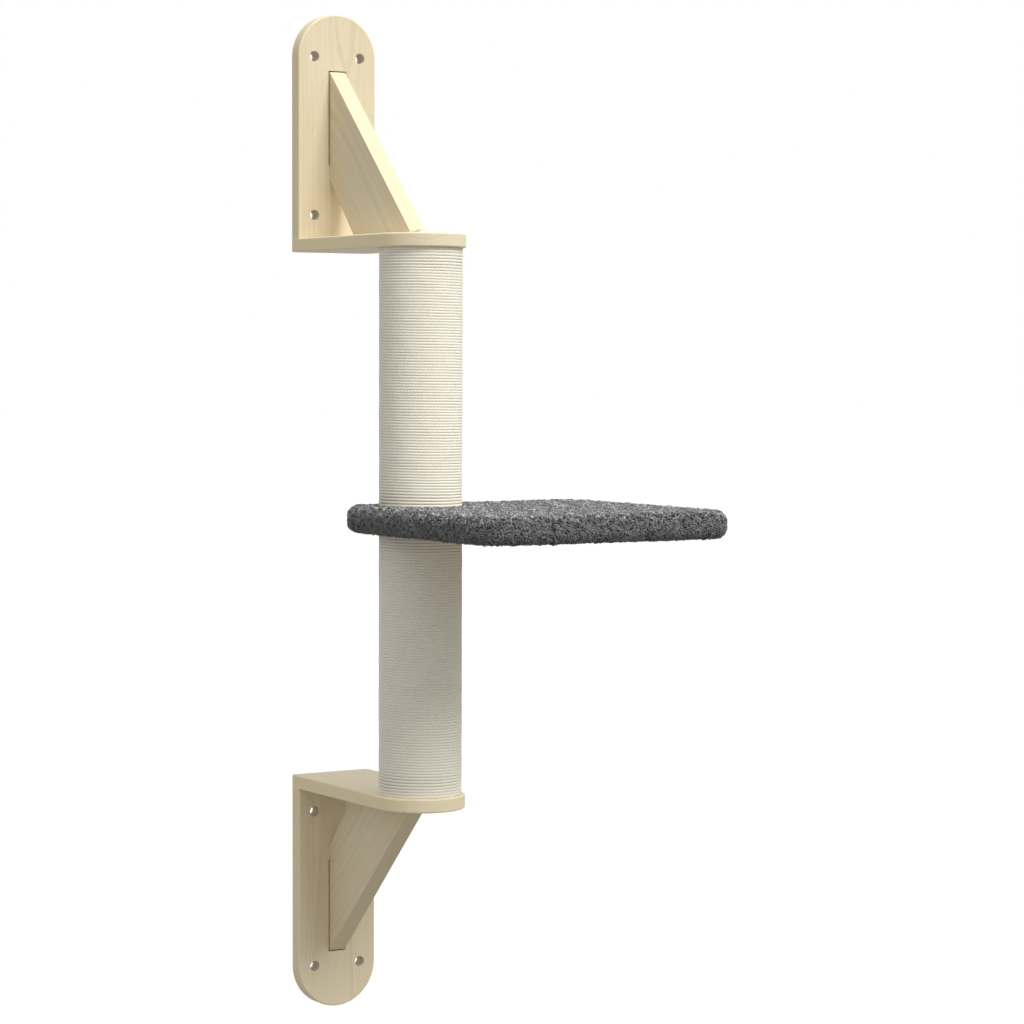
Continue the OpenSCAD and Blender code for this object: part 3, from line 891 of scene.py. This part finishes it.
class CATTREE_PG_rope(PropertyGroup):
    light: colour("Light fibre", "Sunlit sisal", 249, 245, 231)
    shade: colour("Dull fibre", "Darker sisal", 237, 230, 212)
    straw: colour("Straw", "Yellower stretches", 237, 226, 199)
    # painted shade between the strands
    strand_shade: colour("Hollows", "Between the strands", 205, 196, 174)
    thickness: length("Rope thickness", "How thick it lies on the tube", 0.0023, 0.0015, 0.012)
    fullness: number(
        "Fullness", "Height of the unpressed rope as a share of the pitch", 1.22, 1.02, 1.4
    )
    pitch: length("Pitch", "Height of one turn on the post", 0.002957, 0.0015, 0.012)
    lay: length("Lay", "Way along the rope of a strand's turn round it", 0.0105, 0.004, 0.06)
    strands: whole("Strands", "Strands in the rope", 3, 2, 4)
    segments: whole("Segments", "Straight pieces in one turn of the rope", 90, 24, 120)


class CATTREE_PG_plush(PropertyGroup):
    dark: colour("Dark tufts", "Charcoal pile", 94, 94, 94)
    middle: colour("Grey tufts", "Middle grey pile", 166, 166, 166)
    fleck: colour("Light flecks", "Light pile", 228, 228, 228)
    pile: length("Pile", "Length of the pile", 0.0028, 0.001, 0.02)
    under_pile: length("Pile below", "Flattened pile under the board", 0.0028, 0.0005, 0.01)
    proud: length("Stands proud", "How far tips stand outside the solid", 0.0014, 0.0, 0.004)
    tuft_width: length("Tuft width", "Thickness of one tuft at its root", 0.00132, 0.0003, 0.005)
    cloth: length("Cloth", "Thickness of the backing cloth", 0.0006, 0.0002, 0.003)
    corner: length("Corner", "Radius of the platform's corners", 0.036, 0.01, 0.1)
    edge: length("Rim", "Rounding of the platform's rim", 0.011, 0.002, 0.0135)
    turn_under: length("Turned under", "Width of cloth under the board", 0.032, 0.005, 0.1)
    tufts: whole("Tufts", "Number of tufts", 96000, 2000, 120000)
    columns: whole("Columns", "Cloth points round the slab", 320, 80, 600)
    rows: whole("Rows", "Cloth points over the top", 46, 12, 120)


class CATTREE_PG_core(PropertyGroup):
    paper: colour("Kraft paper", "The tubes inside the post", 176, 140, 100)
    paper_width: length("Paper width", "Width of the wound paper", 0.09, 0.02, 0.2)
    plug: colour("Plugs", "Wood of the plugs", 214, 184, 138)
    dowel: colour("Dowels", "Wood of the dowels", 210, 174, 128)
    chips: colour("Chipboard", "The board in the platform", 196, 164, 122)


class CATTREE_PG_metal(PropertyGroup):
    plate: colour("Zinc", "Bolts, inserts, stud and screws", 210, 209, 200)


class CATTREE_PG_studio(PropertyGroup):
    floor: colour("Floor", "Pale floor", 230, 230, 230)
    bounce: number("Bounce", "Grey of the floor as it lights the object", 0.24, 0, 1)
    floor_drop: length("Floor below", "Floor's distance below the lowest point", 0.5, 0.0, 3.0)
    floor_reach: length("Floor's reach", "Radius of the floor", 60.0, 5.0, 100.0)
    sky: number("Sky", "Strength of the soft light all round", 0.63, 0, 3)
    high: number("High light", "Strength of the light from high in front", 2.50, 0, 10)
    high_way: direction("High light's direction", 0.131, -0.616, 0.777)
    high_spread: angle("High spread", "Angle that the high light fills", 27, 0.01)
    side: number("Side light", "Strength of the soft light from the right", 0.42, 0, 10)
    side_way: direction("Side light's direction", 0.749, -0.159, 0.643)
    side_spread: angle("Side spread", "Angle that the side light fills", 60, 0.01)
    eye: FloatVectorProperty(
        name="Camera", description="Place of the camera", subtype="TRANSLATION", size=3,
        default=(-1.63422, -3.07014, 0.58970),
    )
    turn: angle("Turn", "Camera's turn from straight at the wall to the right", 31.33339)
    tilt: angle("Tilt", "Camera's tilt downwards", 2.85897)
    roll: angle("Roll", "Camera's roll about its own line of sight", -0.16383)
    lens: number("Lens", "Focal length in millimetres", 110.318, 10, 500)


class CATTREE_PG_all(PropertyGroup):
    wood: PointerProperty(type=CATTREE_PG_wood)
    rope: PointerProperty(type=CATTREE_PG_rope)
    plush: PointerProperty(type=CATTREE_PG_plush)
    core: PointerProperty(type=CATTREE_PG_core)
    metal: PointerProperty(type=CATTREE_PG_metal)
    studio: PointerProperty(type=CATTREE_PG_studio)


# Operators


class CATTREE_OT_studio(Operator):
    """Camera, pale floor, soft sky and two soft lights"""

    bl_idname = "cattree.studio"
    bl_label = "Studio"

    def execute(self, context):
        studio = context.scene.cat_tree.studio
        lens = bpy.data.cameras.new("camera")
        camera = bpy.data.objects.new("camera", lens)
        context.scene.collection.objects.link(camera)
        context.scene.camera = camera
        camera.location = studio.eye
        camera.rotation_euler = (math.pi / 2 - studio.tilt, studio.roll, -studio.turn)
        lens.lens, lens.sensor_width = studio.lens, 36.0
        lens.clip_start, lens.clip_end = 0.05, 200.0

        for name, power, way, spread in (
            ("high_light", studio.high, studio.high_way, studio.high_spread),
            ("side_light", studio.side, studio.side_way, studio.side_spread),
        ):
            lamp = bpy.data.lights.new(name, "SUN")
            lamp.energy, lamp.angle = power, spread
            light = bpy.data.objects.new(name, lamp)
            context.scene.collection.objects.link(light)
            way = np.array(way) / np.linalg.norm(way)
            light.rotation_euler = (math.acos(way[2]), 0.0, math.atan2(way[0], -way[1]))

        # the camera sees a white sky, and the object is lit by a softer one
        sky = bpy.data.worlds.new("sky")
        context.scene.world = sky
        f = Finish(sky)
        seen = f.seen()
        strength = studio.sky * (1 - seen) + seen
        white = (1, 1, 1, 1)
        light = f.add("ShaderNodeBackground", inputs={"Color": white, "Strength": strength})
        f.add("ShaderNodeOutputWorld", inputs={"Surface": light})

        # the floor is a disc, seen from above only and darker as it lights the object
        f = finish("studio_floor")
        body = f.mix(f.seen(), (studio.bounce,) * 3, studio.floor)
        below = f.add("ShaderNodeNewGeometry", output="Backfacing")
        material = f.surface(
            Base_Color=body, Alpha=1 - below, Roughness=1.0, Specular_IOR_Level=0.0
        )
        low, reach = CAD_BOX[0][2] - studio.floor_drop, studio.floor_reach
        ring = np.linspace(0, 2 * np.pi, 64, endpoint=False)
        points = [reach * np.cos(ring), reach * np.sin(ring), np.full(64, low)]
        faces = [np.arange(64)[None]]
        floor = new_piece("studio_floor", np.stack(points, 1), faces, material)
        return {"FINISHED"}


class CATTREE_OT_brackets(Operator):
    """Pine on the wall plates, arms and braces"""

    bl_idname = "cattree.brackets"
    bl_label = "Brackets"

    def execute(self, context):
        # the grain runs towards a plate's round end, out along an arm and down a brace; each
        # board has its own heart line, and arms and braces their own tone
        across, slope = (1.0, 0.0, 0.0), math.sqrt(0.5)
        arm_tone, brace_tone = 1.04, 0.985
        for end, way, heart in (("upper", 1.0, 0.011), ("lower", -1.0, -0.008)):
            low, high = (np.array(v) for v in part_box(end + "_wall_plate"))
            half, tall = (high[0] - low[0]) / 2, high[2] - low[2]
            plate = pine(
                end + "_plate_pine", tuple((low + high) / 2), (0.0, 0.0, way), across,
                (heart, -0.052), 1.0, (half, tall / 2 - half, (high[1] - low[1]) / 2),
                tall / 2 - HOLES_TO_END,
            )
            dress(plate, end + "_wall_plate")
            low, high = (np.array(v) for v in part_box(end + "_arm"))
            deep = high[1] - low[1]
            arm = pine(
                end + "_arm_pine", tuple((low + high) / 2), (0.0, -1.0, 0.0), across,
                (-heart * 1.4, 0.047 * way), arm_tone,
                (half, deep / 2 - half, (high[2] - low[2]) / 2),
            )
            dress(arm, end + "_arm")
            low, high = (np.array(v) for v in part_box(end + "_brace"))
            # the lower brace's thin faces, which face down into shade, take painted bounce light
            brace = pine(
                end + "_brace_pine", tuple((low + high) / 2), (0.0, -slope, -slope * way), across,
                (0.085, 0.018), brace_tone, painted_bounce=0.6 if end == "lower" else 0.0,
            )
            dress(brace, end + "_brace")
        return {"FINISHED"}


class CATTREE_OT_fixings(Operator):
    """Zinc on the bolts, inserts, stud and screws, and wood on the dowels"""

    bl_idname = "cattree.fixings"
    bl_label = "Fixings"

    def execute(self, context):
        dress(
            zinc("zinc_steel"),
            "upper_post_bolt", "lower_post_bolt", "post_threaded_inserts", "post_joining_stud",
            "upper_brace_screws", "lower_brace_screws",
        )
        dress(
            turned_wood("dowel_wood", context.scene.cat_tree.core.dowel, 2),
            "upper_plate_dowels", "lower_plate_dowels",
            "upper_brace_dowels", "lower_brace_dowels",
        )
        return {"FINISHED"}


class CATTREE_OT_core(Operator):
    """Paper tubes and wooden plugs inside the post"""

    bl_idname = "cattree.core"
    bl_label = "Post core"

    def execute(self, context):
        low, high = (np.array(v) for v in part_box("upper_post_tube"))
        paper = paper_tube("kraft_tube", tuple((low + high) / 2))
        dress(paper, "upper_post_tube", "lower_post_tube")
        dress(
            turned_wood("plug_wood", context.scene.cat_tree.core.plug, 1),
            "upper_post_top_plug", "upper_post_bottom_plug",
            "lower_post_top_plug", "lower_post_bottom_plug",
        )
        return {"FINISHED"}


class CATTREE_OT_rope(Operator):
    """Sisal rope wound round both halves of the post"""

    bl_idname = "cattree.rope"
    bl_label = "Rope"

    def execute(self, context):
        material = sisal("sisal")
        for half in ("upper", "lower"):
            wound_rope(half + "_sisal_winding", half + "_post_rope", material)
        return {"FINISHED"}


class CATTREE_OT_platform(Operator):
    """The platform's board and its plush cover"""

    bl_idname = "cattree.platform"
    bl_label = "Platform"

    def execute(self, context):
        dress(chipboard("chipboard"), "platform_board")
        plush_cover("platform_plush", plush_finish("grey_plush"))
        return {"FINISHED"}


OPERATORS = (
    CATTREE_OT_studio,
    CATTREE_OT_brackets,
    CATTREE_OT_fixings,
    CATTREE_OT_core,
    CATTREE_OT_rope,
    CATTREE_OT_platform,
)


class CATTREE_PT_panel(Panel):
    """Lists the parts of the cat tree and their settings"""

    bl_label = "Cat Tree"
    bl_idname = "CATTREE_PT_panel"
    bl_space_type = "VIEW_3D"
    bl_region_type = "UI"
    bl_category = "Cat Tree"

    def draw(self, context):
        for operator in OPERATORS:
            self.layout.operator(operator.bl_idname)
        groups = context.scene.cat_tree
        for key in ("wood", "rope", "plush", "core", "metal", "studio"):
            box = self.layout.box()
            box.label(text=key.capitalize())
            group = getattr(groups, key)
            for setting in group.__annotations__:
                box.prop(group, setting)


CLASSES = (
    CATTREE_PG_wood,
    CATTREE_PG_rope,
    CATTREE_PG_plush,
    CATTREE_PG_core,
    CATTREE_PG_metal,
    CATTREE_PG_studio,
    CATTREE_PG_all,
    *OPERATORS,
    CATTREE_PT_panel,
)


def register():
    for cls in CLASSES:
        bpy.utils.register_class(cls)
    bpy.types.Scene.cat_tree = PointerProperty(type=CATTREE_PG_all)


def unregister():
    del bpy.types.Scene.cat_tree
    for cls in reversed(CLASSES):
        bpy.utils.unregister_class(cls)


def main():
    register()
    bpy.context.scene.view_settings.view_transform = "Standard"
    bpy.ops.cattree.studio()
    bpy.ops.cattree.brackets()
    bpy.ops.cattree.fixings()
    bpy.ops.cattree.core()
    bpy.ops.cattree.rope()
    bpy.ops.cattree.platform()


if __name__ == "__main__":
    main()
